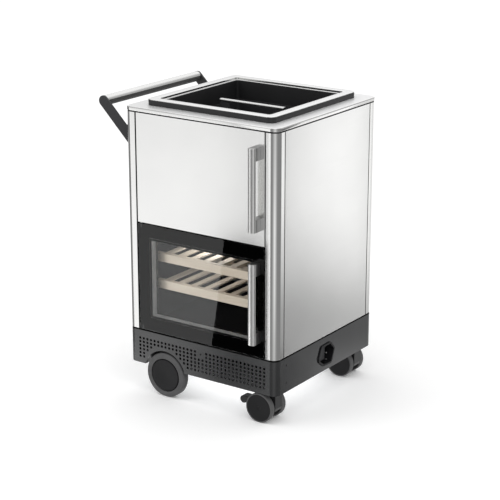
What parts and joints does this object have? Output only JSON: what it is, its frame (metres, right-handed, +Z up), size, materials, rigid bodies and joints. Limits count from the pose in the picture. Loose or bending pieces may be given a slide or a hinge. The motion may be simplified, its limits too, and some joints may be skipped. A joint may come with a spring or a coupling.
{
  "type": "outdoor bar cart",
  "caption": "Square steel bar cart on wheels and casters, with a lift-out bin in its top, a steel door over a glass cooler door, wine shelves and a push handle.",
  "frame": {"origin": "on the floor, under the middle of the outline", "axes": "+X towards the caster side (the viewer's right when facing the doors), +Y from the doors to the back, +Z up"},
  "size_m": [0.741, 0.6384, 1.006],
  "materials": {
    "steel": "satin",
    "trim_steel": "polished",
    "handle_steel": "brushed",
    "anthracite": "fine matt",
    "bracket_paint": "satin",
    "rim_black": "satin",
    "well_black": "satin",
    "tyre_rubber": "matt",
    "wheel_plastic": "matt",
    "hood_plastic": "satin",
    "grip_rubber": "matt",
    "gasket_rubber": "matt",
    "door_glass": "polished",
    "inner_glass": "polished",
    "frame_black": "satin",
    "wood": "oiled",
    "liner_plastic": "satin",
    "foam": "foam",
    "galvanised": "galvanised",
    "machine_black": "satin",
    "fin_aluminium": "mill",
    "copper": "drawn",
    "inlet_plastic": "satin",
    "plug_grey": "satin",
    "contact_metal": "plated",
    "screw_steel": "satin"
  },
  "bodies": {
    "cabinet": {"base_skirt": "anthracite", "front_grille": "anthracite", "base_tray": "galvanised", "wheel_housings": "hood_plastic", "base_deck": "machine_black", "inlet_bezel": "inlet_plastic", "inlet_socket": "plug_grey", "inlet_contacts": "contact_metal", "wheel_axles": "galvanised", "caster_stems": "galvanised", "corner_posts": "steel", "side_panels": "steel", "back_panel": "steel", "top_plate": "machine_black", "worktop": "steel", "top_rim": "rim_black", "rim_trim": "trim_steel", "top_well": "well_black", "hinge_leaves": "galvanised", "cold_liner": "liner_plastic", "insulation": "foam", "dry_liner": "liner_plastic", "evaporator": "fin_aluminium", "lower_wine_shelf": "wood", "upper_wine_shelf": "wood", "shelf_runners": "liner_plastic", "push_bar": "handle_steel", "push_bar_grip": "grip_rubber", "push_brackets": "bracket_paint", "skirt_screws": "screw_steel", "compressor": "machine_black", "condenser": "fin_aluminium", "fan_shroud": "galvanised", "refrigerant_pipes": "copper", "power_box": "machine_black"},
    "front_wheel": {"front_wheel_tyre": "tyre_rubber", "front_wheel_hub": "wheel_plastic"},
    "rear_wheel": {"rear_wheel_tyre": "tyre_rubber", "rear_wheel_hub": "wheel_plastic"},
    "lift_out_bin": {"lift_out_bin": "well_black", "bin_handle": "handle_steel"},
    "upper_door": {"upper_door_skin": "steel", "upper_door_core": "liner_plastic", "upper_door_gasket": "gasket_rubber", "upper_door_handle": "handle_steel"},
    "lower_door": {"lower_door_glass": "door_glass", "lower_door_frame": "frame_black", "lower_door_spacer": "fin_aluminium", "lower_door_inner_glass": "inner_glass", "lower_door_gasket": "gasket_rubber", "lower_door_handle": "handle_steel"},
    "condenser_fan": {"condenser_fan": "wheel_plastic"},
    "front_caster": {"front_caster_hood": "hood_plastic"},
    "front_caster_wheel_outer": {"front_caster_wheel_outer": "wheel_plastic"},
    "front_caster_wheel_inner": {"front_caster_wheel_inner": "wheel_plastic"},
    "front_caster_pedal": {"front_caster_pedal": "hood_plastic"},
    "rear_caster": {"rear_caster_hood": "hood_plastic"},
    "rear_caster_wheel_outer": {"rear_caster_wheel_outer": "wheel_plastic"},
    "rear_caster_wheel_inner": {"rear_caster_wheel_inner": "wheel_plastic"},
    "rear_caster_pedal": {"rear_caster_pedal": "hood_plastic"}
  },
  "joints": [
    {"name": "upper_door_hinge", "type": "hinge", "parent": "cabinet", "child": "upper_door", "pos_m": [-0.1755, -0.27425, 0.7855], "axis": [0, 0, -1], "range_deg": [0, 110]},
    {"name": "lower_door_hinge", "type": "hinge", "parent": "cabinet", "child": "lower_door", "pos_m": [-0.1755, -0.27425, 0.4115], "axis": [0, 0, -1], "range_deg": [0, 110]},
    {"name": "bin_lift", "type": "slide", "parent": "cabinet", "child": "lift_out_bin", "axis": [0, 0, 1], "range_m": [0, 0.2]},
    {"name": "front_wheel_spin", "type": "hinge", "parent": "cabinet", "child": "front_wheel", "pos_m": [-0.0835, -0.26725, 0.0775], "axis": [0, 1, 0], "continuous": true},
    {"name": "front_caster_swivel", "type": "hinge", "parent": "cabinet", "child": "front_caster", "pos_m": [0.3305, -0.23875, 0.1], "axis": [0, 0, 1], "continuous": true},
    {"name": "front_caster_wheel_outer_spin", "type": "hinge", "parent": "front_caster", "child": "front_caster_wheel_outer", "pos_m": [0.2985, -0.27125, 0.05], "axis": [0, 1, 0], "continuous": true},
    {"name": "front_caster_wheel_inner_spin", "type": "hinge", "parent": "front_caster", "child": "front_caster_wheel_inner", "pos_m": [0.2985, -0.20625, 0.05], "axis": [0, 1, 0], "continuous": true},
    {"name": "front_caster_brake", "type": "hinge", "parent": "front_caster", "child": "front_caster_pedal", "pos_m": [0.2615, -0.23875, 0.06], "axis": [0, -1, 0], "range_deg": [0, 12]},
    {"name": "rear_wheel_spin", "type": "hinge", "parent": "cabinet", "child": "rear_wheel", "pos_m": [-0.0835, 0.30275, 0.0775], "axis": [0, 1, 0], "continuous": true},
    {"name": "rear_caster_swivel", "type": "hinge", "parent": "cabinet", "child": "rear_caster", "pos_m": [0.3305, 0.25425, 0.1], "axis": [0, 0, 1], "continuous": true},
    {"name": "rear_caster_wheel_outer_spin", "type": "hinge", "parent": "rear_caster", "child": "rear_caster_wheel_outer", "pos_m": [0.2985, 0.22175, 0.05], "axis": [0, 1, 0], "continuous": true},
    {"name": "rear_caster_wheel_inner_spin", "type": "hinge", "parent": "rear_caster", "child": "rear_caster_wheel_inner", "pos_m": [0.2985, 0.28675, 0.05], "axis": [0, 1, 0], "continuous": true},
    {"name": "rear_caster_brake", "type": "hinge", "parent": "rear_caster", "child": "rear_caster_pedal", "pos_m": [0.2615, 0.25425, 0.06], "axis": [0, -1, 0], "range_deg": [0, 12]},
    {"name": "condenser_fan_spin", "type": "hinge", "parent": "cabinet", "child": "condenser_fan", "pos_m": [0.0265, 0.25275, 0.185], "axis": [0, 1, 0], "continuous": true}
  ]
}
